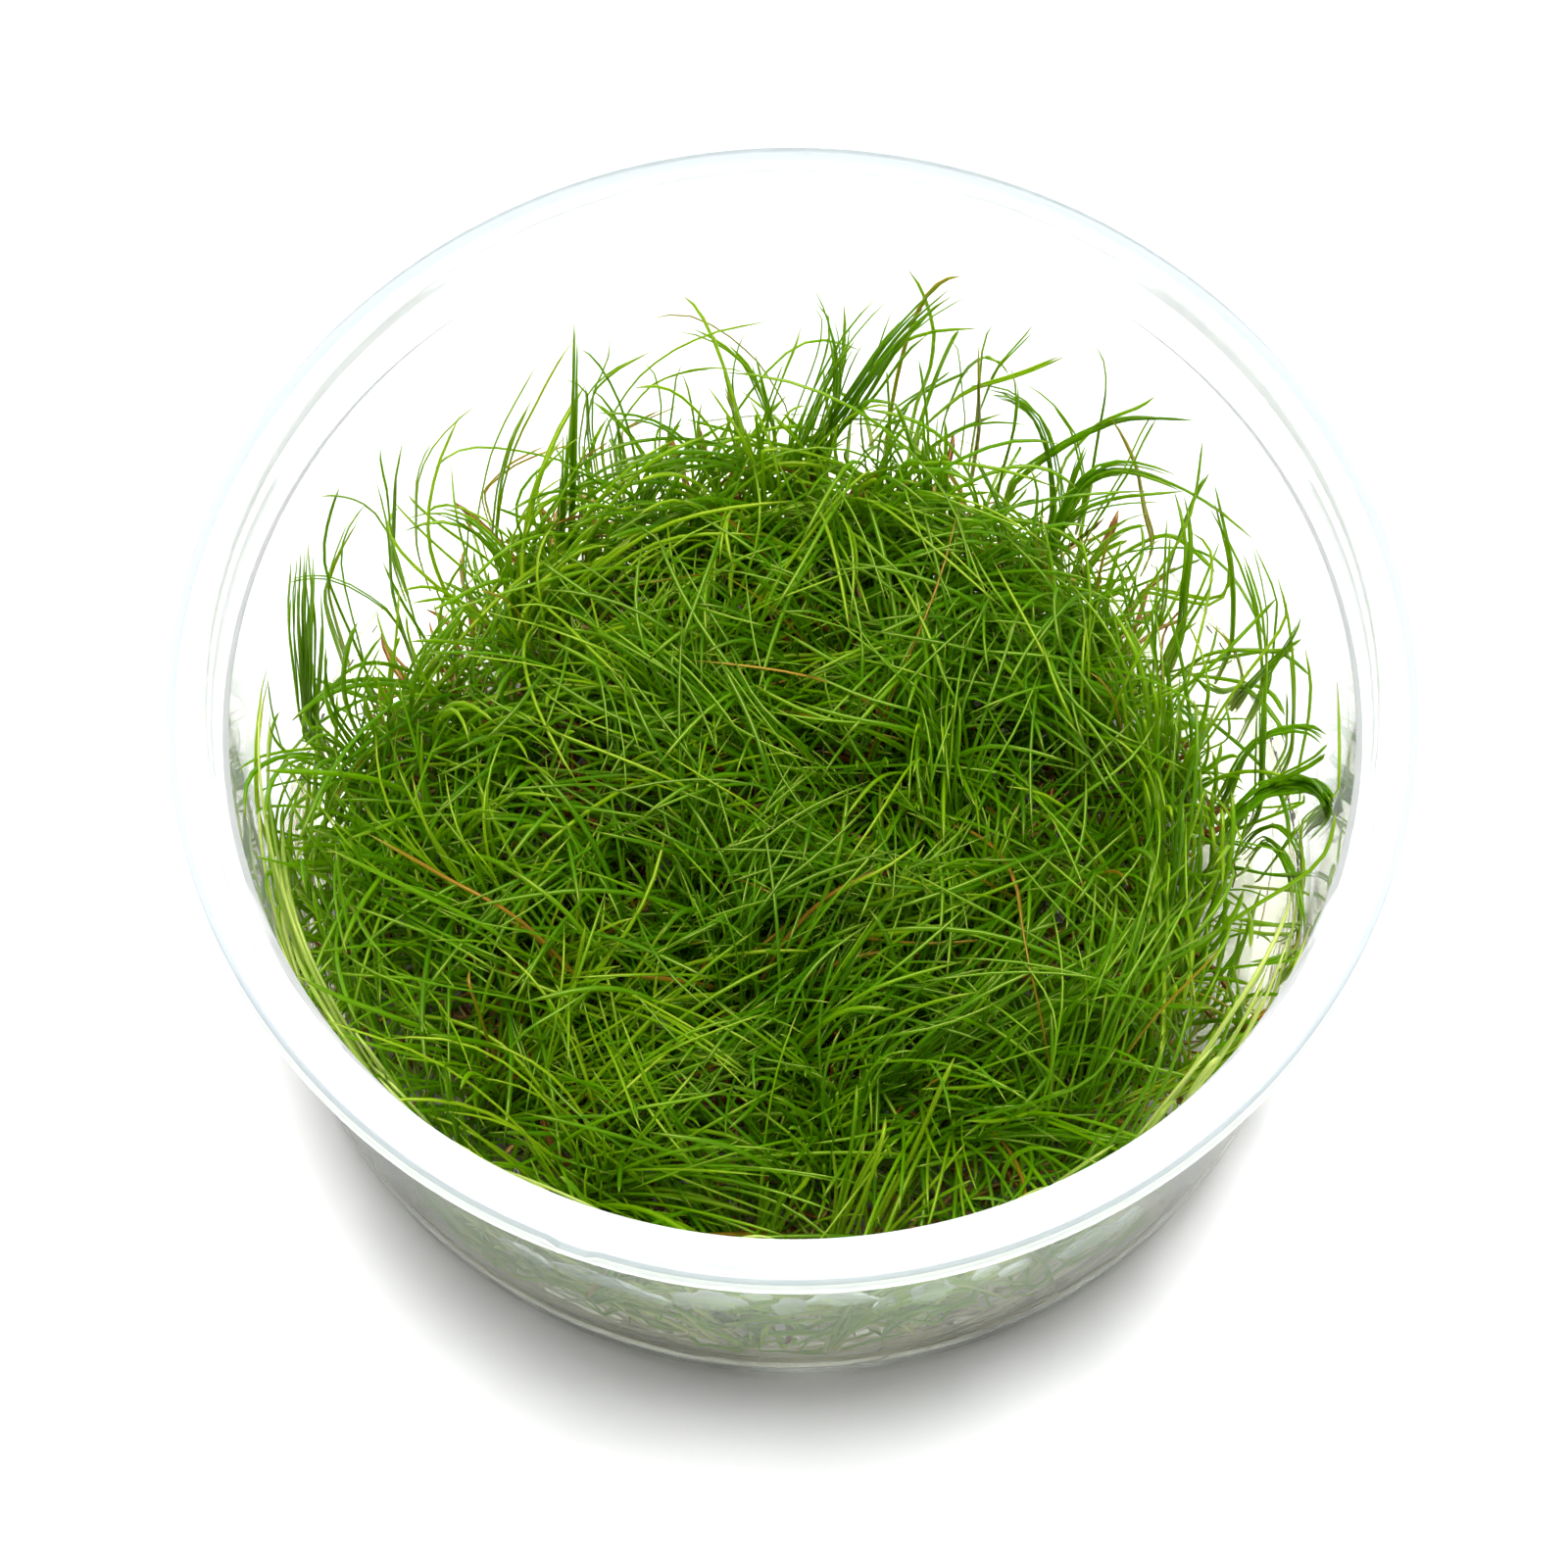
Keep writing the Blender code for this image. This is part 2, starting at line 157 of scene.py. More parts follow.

# Leaves that stand out against the white in the photograph, a group to a line: how many, how far they
# spread in mm, the heights of their first place and tip in mm, their tone, and their pixels, root first
# A row's tone is partly the leaf's own and partly painted light: tones at the right and the back are raised
# for leaves lit through against the white
TRACED = """
8 0.55 12 29 0.5 309,735 306,690 302,640 303,600 306,546
10 0.55 12 30 0.4 316,735 314,690 311,640 311,590 313,540
6 0.5 12 30 0.5 322,735 324,690 326,640 322,590 320,540
2 0.3 14 22 0.6 408,650 395,625 360,601 330,589 300,592 272,605
3 0.3 14 24 0.8 262,830 261,770 267,710 279,665 294,634
1 0.2 14 22 0.4 288,765 277,725 273,693
1 0.2 16 20 0.7 345,762 300,765 270,770 241,785
2 0.2 12 26 0.65 330,610 345,560 360,528 376,488
2 0.2 12 25 0.8 332,600 350,556 366,530 382,506
1 0.2 12 22 0.6 425,640 414,600 402,555 390,530 370,512 350,506 328,505
2 0.2 12 24 0.5 410,640 399,600 397,560 393,530 381,488
1 0.2 12 27 0.55 400,560 395,500 388,472 388,455
2 0.15 12 28 0.5 399,570 402,490 408,460 413,430
7 0.5 12 19 0.45 525,620 512,565 482,532 450,518 420,519 385,532
2 0.15 12 28 0.8 424,560 424,490 435,460 455,435 470,421 497,400
1 0.1 12 25 0.8 465,625 448,590 438,560 436,530 440,500 450,465 470,422
1 0.1 12 28 0.75 486,530 500,465 515,430 533,398 549,370
4 0.25 11 28 0.7 504,560 510,500 524,450 541,418 560,378 582,345
9 0.2 11 29 0.4 582,560 583,480 584,420 585,360 585,311
5 0.4 11 22 0.35 572,560 575,500 577,450 576,415
2 0.15 12 26 0.5 588,480 590,405 594,380 597,360
2 0.2 14 24 0.45 600,440 598,395 580,384 558,382
2 0.4 12 17 0.4 475,600 478,545 488,520
3 0.35 12 21 0.4 632,470 625,425 612,405 592,390
2 0.2 12 26 0.8 590,460 600,400 625,378 660,360 697,345
1 0.2 12 27 0.8 612,450 632,410 655,380 690,355 730,338 783,328
1 0.2 13 26 0.6 604,440 605,400 617,375 625,352 623,345
2 0.2 12 20 0.7 625,450 645,417 668,392 705,380 740,378 780,390
1 0.2 12 24 0.7 672,470 675,410 670,385 662,371 655,367
1 0.1 12 25 0.55 679,465 687,410 691,376 697,369
1 0.1 12 24 0.75 712,460 707,420 701,392 696,380
1 0.2 12 25 0.8 806,420 775,370 745,343 715,325 692,319 661,326
2 0.2 12 25 0.65 790,430 765,375 740,350 715,335 690,328
1 0.2 12 24 0.65 785,430 760,372 735,352 710,341 690,338
2 0.2 12 24 0.5 752,460 752,420 742,400 736,375 734,357
2 0.3 12 25 0.5 757,450 745,400 748,370 755,347 765,333
3 0.3 12 24 0.5 790,440 778,390 771,362 768,342
3 0.2 12 26 0.6 765,480 785,410 800,370 811,345 816,325
5 0.5 12 27 0.45 835,460 855,410 857,365 850,330 841,308 830,287
2 0.3 12 26 0.55 812,440 838,370 846,335 840,318 818,301
2 0.3 12 26 0.55 850,430 860,360 862,330 860,306
6 0.6 12 27 0.4 815,460 838,400 862,355 885,325 908,303
2 0.3 12 27 0.5 838,440 868,362 890,325 920,298
2 0.4 12 26 0.55 825,450 856,352 866,330 877,318
9 0.55 12 28 0.35 825,460 870,400 903,352 932,320 974,283
5 0.45 12 28 0.45 835,465 888,402 918,350 955,318 995,295
3 0.4 12 27 0.45 840,460 885,385 930,330 957,300
1 0.2 12 26 0.5 865,440 895,360 903,335 911,315
7 0.8 11 20 0.3 805,500 820,455 838,415 852,380
1 0.1 12 28 0.6 932,420 950,375 954,340 948,315 938,290 927,275
1 0.1 12 25 0.6 868,420 895,366 925,346 955,337 997,335
1 0.1 12 23 0.55 985,430 980,380 979,358 967,341
3 0.1 12 24 0.88 999,440 998,400 997,345
1 0.1 12 25 0.5 996,430 1003,350 1008,338 1013,331
2 0.15 12 26 0.7 995,430 1015,375 1038,350 1052,335 1060,320
2 0.2 12 18 0.6 962,430 985,375 1010,359 1028,375 1040,402 1040,430 1030,460
2 0.2 12 25 0.55 1022,490 1036,440 1040,400 1032,368 1018,345
2 0.2 12 25 0.8 935,440 985,398 1040,382 1080,365 1111,350
9 0.5 12 20 0.4 1078,520 1073,465 1060,425 1035,402 1000,395 965,402
2 0.2 12 22 0.7 1108,500 1095,440 1068,405 1035,384
2 0.15 12 26 0.55 1112,500 1122,440 1129,405 1130,378 1125,355 1112,340
4 0.25 12 23 0.45 1030,490 1080,455 1118,434 1145,425 1180,424 1219,427
1 0.1 12 25 0.65 1085,470 1120,432 1150,420 1165,415 1178,405
2 0.2 12 25 0.6 1105,550 1150,480 1165,445 1180,420 1195,405 1207,404
3 0.3 12 23 0.45 1085,520 1100,475 1112,445 1122,425
12 0.4 12 20 0.35 1070,560 1096,503 1120,481 1150,477 1185,486 1214,499
3 0.25 12 19 0.5 1078,550 1112,486 1150,478 1200,494 1243,519 1287,556
5 0.3 12 20 0.45 1075,545 1110,515 1145,506 1205,501
4 0.25 11 21 0.5 1205,650 1210,600 1216,560 1212,525 1205,500
1 0.1 12 23 0.6 1145,640 1182,585 1212,538 1222,495 1227,450
2 0.15 14 24 0.45 1205,540 1222,500 1233,482 1236,460
3 0.25 11 23 0.55 1256,660 1258,610 1255,570 1247,535 1234,482
3 0.3 11 22 0.55 1292,700 1285,620 1270,572 1254,540 1236,505
2 0.2 12 20 0.55 1195,660 1225,610 1243,565 1256,532
1 0.1 11 23 0.7 1291,700 1294,630 1286,585 1277,555
1 0.1 11 23 0.5 1296,700 1304,610 1292,583 1280,557
2 0.2 12 24 0.6 1318,770 1322,700 1320,660 1315,620 1304,580
2 0.15 12 25 0.5 1280,720 1292,690 1310,662 1324,640 1334,592
2 0.3 9 24 0.92 1177,556 1166,522 1159,480 1145,450 1125,420 1104,400
2 0.3 12 19 0.65 1105,555 1150,530 1200,518
2 0.2 11 20 0.5 1187,620 1190,560 1192,520
3 0.3 10 14 0.7 1165,600 1205,609 1237,616 1254,603 1256,565
1 0.1 11 20 0.55 1165,735 1205,705 1240,676 1270,645 1303,610
3 0.25 11 19 0.5 1190,695 1230,666 1262,662 1300,663 1332,660
6 0.25 10 22 0.4 1284,830 1285,780 1286,730 1289,655
2 0.2 11 22 0.55 1316,765 1318,715 1316,680 1308,648
1 0.1 11 22 0.65 1322,800 1336,730 1338,695 1332,662
3 0.3 9 18 0.55 1270,700 1293,718 1310,742 1318,770
3 0.3 9 17 0.55 1272,698 1245,706 1222,694 1203,672
5 0.4 9 20 0.4 1272,700 1290,682 1310,664 1332,652
2 0.2 9 16 0.8 1270,695 1264,670 1250,646 1226,626
6 0.35 11 18 0.4 1252,810 1268,773 1287,753 1312,743 1337,743 1356,756
3 0.3 11 20 0.45 1270,815 1310,790 1340,776 1357,760
24 0.55 10 16 0.3 1245,890 1255,845 1272,820 1297,803 1328,797 1352,808 1364,830 1368,855
1 0.1 10 25 0.8 1358,905 1366,820 1367,760 1366,720 1365,693
2 0.15 10 22 0.7 1355,930 1364,880 1366,850 1372,827
2 0.2 10 18 0.8 1298,880 1325,842 1350,815
7 0.3 10 20 0.75 1318,985 1335,950 1350,910 1359,870 1364,830
3 0.3 10 14 0.5 1280,850 1302,842 1320,858 1330,885 1328,925
5 0.35 10 13 0.35 1288,855 1305,868 1317,895 1323,930 1326,960
4 0.25 9 14 0.35 1258,882 1290,890 1315,891 1342,888
4 0.4 8 12 0.7 1325,950 1295,950 1260,945 1215,935
4 0.3 8 12 0.5 1335,965 1300,980 1270,985 1242,988
6 0.3 8 10 0.93 1266,1062 1275,1045 1290,1032 1303,1020
5 0.3 9 18 0.35 1270,1050 1264,1020 1256,983
3 0.4 9 14 0.8 1272,1045 1232,1023 1185,1018 1140,1030
2 0.4 9 14 0.8 1285,1040 1243,1010 1200,998 1140,1012
12 0.7 8 15 0.8 1285,1050 1240,1083 1190,1110 1110,1145
2 0.2 10 14 0.9 632,440 660,424 696,407
2 0.2 10 14 0.9 490,505 520,476 555,459 590,448
2 0.3 9 12 0.97 590,470 605,458 622,446
2 0.2 10 16 0.97 752,440 745,410 734,384
2 0.2 14 17 0.9 880,495 905,475 935,447
"""
TRACED_HUMP = 2.5 * MM
TRACED_RINGS = 40

# Smears of gel on the inside of the wall in front: pixel, and width and height in mm
SMEARS = [
    (722, 1324, 5.6, 4.2),
    (632, 1308, 3.6, 2.3),
    (950, 1314, 4.2, 3.4),
    (903, 1326, 1.6, 2.3),
    (859, 1322, 5.0, 2.8),
    (806, 1330, 3.0, 3.2),
    (1034, 1291, 2.3, 2.3),
    (1112, 1262, 6.0, 3.6),
    (1005, 1294, 2.3, 2.3),
    (668, 1322, 2.4, 2.0),
    (772, 1318, 2.6, 2.0),
    (600, 1298, 5.5, 2.8),
    (540, 1276, 4.0, 2.0),
    (1150, 1240, 3.4, 2.4),
]
SMEAR_THICKNESS = 0.35 * MM

# The photograph's camera, in pixels of its 1600 pixel frame and in metres
PHOTO_SIZE = 1600
PHOTO_FOCAL = 7000.0
CAMERA_ELEVATION = math.radians(66.03)
CAMERA_DISTANCE = 559.4 * MM
CAMERA_TARGET = Vector((-0.65 * MM, 8.39 * MM, 3.73 * MM))
CAMERA_FORWARD = Vector((0.0, math.cos(CAMERA_ELEVATION), -math.sin(CAMERA_ELEVATION)))
CAMERA_UP = Vector((0.0, math.sin(CAMERA_ELEVATION), math.cos(CAMERA_ELEVATION)))
CAMERA_PLACE = CAMERA_TARGET - CAMERA_FORWARD * CAMERA_DISTANCE


def length_setting(name, description, millimetres):
    return FloatProperty(name=name, description=description, default=millimetres * MM, unit="LENGTH")


def share_setting(name, description, share):
    return FloatProperty(name=name, description=description, default=share, subtype="FACTOR")


def count_setting(name, description, count):
    return IntProperty(name=name, description=description, default=count)


def colour_setting(name, description, code):
    return StringProperty(name=name, description=description, default=code)


class CupSettings(bpy.types.PropertyGroup):
    """The moulded cup."""

    wall: length_setting("Wall", "Thickness of the wall", 0.62)
    lip_inner: length_setting("Lip radius", "Inside radius of the lip", 44.67)
    lip_wall: length_setting("Lip wall", "Thickness of the lip", 0.63)
    ledge_radius: length_setting("Ledge radius", "Radius of the stacking ledge", 43.28)
    ledge_height: length_setting("Ledge height", "Height of the stacking ledge", 35.46)
    base_radius: length_setting("Base radius", "Outside radius of the wall at the base", 41.6)
    haze: share_setting("Haze", "Share of the light that the thin wall scatters", 0.07)
    rim_haze: share_setting("Rim haze", "Share of the light that the thicker rim scatters", 0.42)
    tint: colour_setting("Tint", "Colour of the wall and the lip", "#fafcfd")
    # The flange and the inside of its bead are greyer copies of the same plastic: painted shade, which makes
    # the flange a little grey and the bead's groove a dark line
    flange_painted_shade: colour_setting("Flange tint", "Colour of the flange", "#e3e4e6")
    bead_painted_shade: colour_setting("Bead tint", "Colour inside the flange's bead", "#b7c0c6")


class GelSettings(bpy.types.PropertyGroup):
    """The set gel and the roots in it."""

    tint: colour_setting("Tint", "Colour of the gel", "#f1f3dd")
    smear_haze: share_setting("Smear haze", "Share of the light that a smear scatters", 0.26)
    roots: count_setting("Roots", "Roots by the wall", 190)
    # The felt is dark partly as painted shade under the dense mat
    felt: count_setting("Felt", "Old roots under the mat", 700)
    root_radius: length_setting("Root radius", "Radius of a root", 0.08)


class GrassSettings(bpy.types.PropertyGroup):
    """The thread-like leaves."""

    leaves: count_setting("Leaves", "Leaves of each plantlet in the dense mat", 118)
    sparse_leaves: count_setting("Edge leaves", "Leaves of a plantlet at the edge", 14)
    wall_leaves: count_setting("Wall leaves", "Leaves pressed against the wall", 250)
    seedlings: count_setting("Seedlings", "Short leaves between the plantlets", 1200)
    litter: count_setting("Litter", "Old leaves on the gel", 1300)
    radius: length_setting("Leaf radius", "Half the width of a leaf's broad side", 0.18)
    flatness: share_setting("Flatness", "A leaf's thickness over its width", 0.6)
    seed: count_setting("Seed", "Seed of the random draws", 5)


class StageSettings(bpy.types.PropertyGroup):
    """The table and the light."""

    table: colour_setting("Table", "Colour of the table", "#fbfbfc")
    surround: FloatProperty(name="Surround", description="Strength of the light from the sides", default=1.4)
    lamp: FloatProperty(name="Lamp", description="Power of the soft box overhead", default=10.0, unit="POWER")


# Colours and materials


def linear(code):
    """The linear colour of an sRGB hex code."""
    values = [int(code[i : i + 2], 16) / 255 for i in (1, 3, 5)]
    return (*[v / 12.92 if v <= 0.04045 else ((v + 0.055) / 1.055) ** 2.4 for v in values], 1.0)


def add_node(material, kind, inputs=None, **settings):
    """Adds a node with its settings. An input is a value, or an output socket to link from."""
    node = material.node_tree.nodes.new(kind)
    for name, value in settings.items():
        setattr(node, name, value)
    for name, value in (inputs or {}).items():
        if isinstance(value, bpy.types.NodeSocket):
            material.node_tree.links.new(value, node.inputs[name])
        else:
            node.inputs[name].default_value = value
    return node


def new_material(name):
    material = bpy.data.materials.new(name)
    material.use_nodes = True
    material.node_tree.nodes.clear()
    return material


def ramp(material, factor, stops):
    """A colour ramp whose stops are places from 0 to 1, each with an sRGB hex code."""
    node = add_node(material, "ShaderNodeValToRGB", {"Fac": factor})
    elements = node.color_ramp.elements
    while len(elements) < len(stops):
        elements.new(1.0)
    for element, (place, code) in zip(elements, stops.items()):
        element.position = place
        element.color = linear(code)
    return node.outputs["Color"]


def blend(material, share, first, second):
    """A mix of two shaders, with so much of the second."""
    return add_node(material, "ShaderNodeMixShader", {0: share, 1: first.outputs[0], 2: second.outputs[0]})


def blend_colours(material, share, first, second):
    mix = add_node(material, "ShaderNodeMix", {0: share, 6: first, 7: second}, data_type="RGBA")
    return mix.outputs[2]


def noise_bump(material, strength, distance, noise):
    """The normal of a surface that swells and dips with a noise laid in the piece's own place."""
    place = add_node(material, "ShaderNodeTexCoord").outputs["Object"]
    height = add_node(material, "ShaderNodeTexNoise", {"Vector": place, **noise}).outputs["Fac"]
    depth = {"Height": height, "Strength": strength, "Distance": distance}
    return add_node(material, "ShaderNodeBump", depth).outputs["Normal"]


def clear_shader(material, tint, roughness, ior, normal):
    inputs = {"Base Color": linear(tint), "Roughness": roughness, "IOR": ior, "Transmission Weight": 1.0}
    return add_node(material, "ShaderNodeBsdfPrincipled", {**inputs, "Normal": normal})


def set_surface(material, shader):
    add_node(material, "ShaderNodeOutputMaterial", {"Surface": shader.outputs[0]})


def let_light_through(material, shader, share):
    """A clear piece casts only a faint shadow: most light goes through it."""
    path = add_node(material, "ShaderNodeLightPath")
    clear = add_node(material, "ShaderNodeBsdfTransparent", {"Color": (share, share, share, 1.0)})
    set_surface(material, blend(material, path.outputs["Is Shadow Ray"], shader, clear))


def milky_clear(name, haze, tint):
    """A clear material with milk in it, such as moulded polypropylene: glossy, with faint flow marks."""
    material = new_material(name)
    flow = {"Scale": 90.0, "Detail": 1.0, "Roughness": 0.4}
    clear = clear_shader(material, tint, 0.02, MILKY_IOR, noise_bump(material, 0.05, 0.1 * MM, flow))
    bounced = add_node(material, "ShaderNodeBsdfDiffuse", {"Color": linear(tint)})
    passed = add_node(material, "ShaderNodeBsdfTranslucent", {"Color": linear(tint)})
    milk = blend(material, MILK_LETS_PASS, bounced, passed)
    let_light_through(material, blend(material, haze, clear, milk), MILKY_SHADOW_LIGHT)
    return material


def set_gel(tint):
    """Agar gel, poured and set: clear and wet, with a surface that swells and dips a little."""
    material = new_material("set_gel")
    swell = {"Scale": 420.0, "Detail": 2.0}
    shader = clear_shader(material, tint, 0.03, GEL_IOR, noise_bump(material, 0.2, 0.5 * MM, swell))
    let_light_through(material, shader, GEL_SHADOW_LIGHT)
    return material


def leaf_material(name):
    """A leaf or root that is waxy and wet, lit through from behind, pale at its root and fine at its tip."""
    tones, root, tip, glow, glow_share = LEAF_LOOKS[name]
    material = new_material(name)
    along = add_node(material, "ShaderNodeAttribute", attribute_name="along").outputs["Fac"]
    tone = add_node(material, "ShaderNodeAttribute", attribute_name="tone").outputs["Fac"]
    colour = ramp(material, tone, tones)
    near_tip = add_node(material, "ShaderNodeMapRange", {"Value": along, 1: 0.88, 2: 1.0, 3: 0.0, 4: 0.7})
    near_root = add_node(material, "ShaderNodeMapRange", {"Value": along, 1: 0.26, 2: 0.02, 3: 0.0, 4: 1.0})
    colour = blend_colours(material, near_tip.outputs[0], colour, linear(tip))
    colour = blend_colours(material, near_root.outputs[0], colour, linear(root))
    waxy = {"Roughness": 0.29, "IOR": 1.66, "Specular IOR Level": 1.0, "Specular Tint": linear("#fff090")}
    shader = add_node(material, "ShaderNodeBsdfPrincipled", {"Base Color": colour, **waxy})
    lit_through = blend_colours(material, 0.8, colour, linear(glow))
    through = add_node(material, "ShaderNodeBsdfTranslucent", {"Color": lit_through})
    set_surface(material, blend(material, glow_share, shader, through))
    return material


def plain_material(name, colour, roughness):
    """A dull opaque finish of one colour, for the table."""
    material = new_material(name)
    dull = {"Base Color": linear(colour), "Roughness": roughness, "IOR": 1.45}
    set_surface(material, add_node(material, "ShaderNodeBsdfPrincipled", dull))
    return material


# Shapes


def arc(centre, radius, start, end, steps):
    """Points of a circular arc in the (radius, height) plane, with its angles in degrees."""
    angles = [math.radians(start + (end - start) * step / steps) for step in range(steps + 1)]
    return [(centre[0] + radius * math.cos(a), centre[1] + radius * math.sin(a)) for a in angles]


def link_object(name, data):
    linked = bpy.data.objects.new(name, data)
    bpy.context.scene.collection.objects.link(linked)
    return linked


def add_piece(name, mesh, material, nodes=()):
    """Links a mesh as a piece that rides on the root and stands for CAD nodes."""
    mesh.materials.append(material)
    piece = link_object(name, mesh)
    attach(piece, "root")
    if nodes:
        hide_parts(*nodes)


def turned_mesh(name, profile, steps):
    """A bmesh turned about Z from a profile that starts and ends on the axis."""
    made = bmesh.new()
    verts = [made.verts.new((radius, 0.0, height)) for radius, height in profile]
    edges = [made.edges.new(pair) for pair in zip(verts, verts[1:])]
    bmesh.ops.spin(
        made, geom=verts + edges, cent=(0, 0, 0), axis=(0, 0, 1), angle=math.tau, steps=steps, use_merge=True
    )
    bmesh.ops.remove_doubles(made, verts=made.verts, dist=0.001 * MM)
    bmesh.ops.recalc_face_normals(made, faces=made.faces)
    return made


def to_mesh(made, name, sharp_degrees=40.0):
    mesh = bpy.data.meshes.new(name)
    made.to_mesh(mesh)
    made.free()
    mesh.shade_smooth()
    mesh.set_sharp_from_angle(angle=math.radians(sharp_degrees))
    return mesh


def inner_radius(height):
    """The radius of the inner wall of the body, which tapers from the ledge down to the floor."""
    cup = bpy.context.scene.hairgrass_cup
    share = np.clip(height / cup.ledge_height, 0.0, 1.0)
    return (cup.base_radius - cup.wall) * (1 - share) + cup.ledge_radius * share


def highest(reach):
    """How high leaves may reach at a distance from the axis: the middle is lower than the edge."""
    share = (reach - MIDDLE_REACH) / (inner_radius(EDGE_HEIGHT) - MIDDLE_REACH)
    return MIDDLE_HEIGHT + (EDGE_HEIGHT - MIDDLE_HEIGHT) * np.clip(share, 0.0, 1.0)


def cup_profile(cup):
    """The cup's section, from the middle of its floor up the inside and down the outside."""
    inner_corner = BASE_CORNER - cup.wall
    corner_height = FLOOR_TOP + inner_corner
    inside = [(0.0, FLOOR_TOP)]
    inside += arc((inner_radius(corner_height) - inner_corner, corner_height), inner_corner, -90, 0, 8)
    soft = 0.35 * MM
    inside += arc((cup.ledge_radius + soft, cup.ledge_height), soft, 180, 115, 4)
    inside += arc((COLLAR_FOOT_RADIUS - soft, COLLAR_FOOT_HEIGHT + soft), soft, -75, 0, 4)

    half_lip = cup.lip_wall / 2
    lip = arc((cup.lip_inner + half_lip, CUP_HIGH.z - half_lip), half_lip, 180, 0, 10)

    edge_radius = FLANGE_EDGE_WIDTH / 2
    edge_centre = (FLANGE_RADIUS - edge_radius, FLANGE_EDGE_TOP - edge_radius)
    flange = arc((cup.lip_inner + cup.lip_wall + soft, FLANGE_TOP + soft), soft, 180, 270, 4)
    flange.append((FLANGE_RADIUS - FLANGE_EDGE_WIDTH, FLANGE_TOP))
    flange += arc(edge_centre, edge_radius, 180, 0, 8)
    flange.append((FLANGE_RADIUS, FLANGE_TOP))
    flange.append((FLANGE_RADIUS - FLANGE_EDGE_WIDTH, FLANGE_TOP - FLANGE_THICKNESS))

    collar_outer = COLLAR_FOOT_RADIUS + cup.wall
    below = [
        (collar_outer, FLANGE_TOP - FLANGE_THICKNESS),
        (collar_outer, COLLAR_FOOT_HEIGHT - cup.wall / 2),
        (cup.ledge_radius + cup.wall, cup.ledge_height - cup.wall),
    ]
    outside = arc((cup.base_radius - BASE_CORNER, BASE_CORNER), BASE_CORNER, 0, -90, 10)
    ring_inner = cup.base_radius - BASE_CORNER - FOOT_RING_WIDTH
    foot = [(ring_inner, 0.0), (ring_inner - FOOT_RING_HEIGHT, FOOT_RING_HEIGHT), (0.0, FOOT_RING_HEIGHT)]
    return inside + lip + flange + below + outside + foot


def cut_notch(made):
    """Lowers the flange's upturned edge over the width of the tear notch."""
    half_angle = NOTCH_WIDTH / 2 / FLANGE_RADIUS
    floor = FLANGE_TOP + NOTCH_FLOOR
    for vert in made.verts:
        turn = (math.atan2(vert.co.y, vert.co.x) - NOTCH_AZIMUTH + math.pi) % math.tau - math.pi
        outer = math.hypot(vert.co.x, vert.co.y) > FLANGE_RADIUS - FLANGE_EDGE_WIDTH - NOTCH_FLOOR
        if outer and abs(turn) < half_angle:
            vert.co.z = min(vert.co.z, floor)


def rim_part(place, cup):
    """Which finish a place on the cup has: 0 the wall, 1 the lip, 2 the flange's top, greyer as painted
    shade, 3 inside its bead, darker as painted shade.
    """
    reach = math.hypot(place.x, place.y)
    bead = FLANGE_RADIUS - FLANGE_EDGE_WIDTH
    if bead - BEAD_INSIDE < reach < bead + BEAD_OUTSIDE and place.z > FLANGE_TOP + NEAR_FLANGE:
        return 3
    if cup.lip_inner + cup.lip_wall < reach < bead and place.z > FLANGE_TOP - NEAR_FLANGE:
        return 2
    return 1 if place.z > cup.ledge_height - cup.wall else 0


def strand_template(sides, rings):
    """A closed rod of unit radius and length, cut across into rings, whose height is the place along it."""
    made = bmesh.new()
    bmesh.ops.create_cone(made, cap_ends=True, segments=sides, radius1=1.0, radius2=1.0, depth=1.0)
    bmesh.ops.translate(made, verts=made.verts, vec=(0.0, 0.0, 0.5))
    for ring in range(1, rings - 1):
        bmesh.ops.bisect_plane(
            made,
            geom=made.verts[:] + made.edges[:] + made.faces[:],
            plane_co=(0.0, 0.0, ring / (rings - 1)),
            plane_no=(0.0, 0.0, 1.0),
        )
    made.verts.index_update()
    points = np.array([vert.co[:] for vert in made.verts])
    faces = [[vert.index for vert in face.verts] for face in made.faces]
    made.free()
    return points, faces


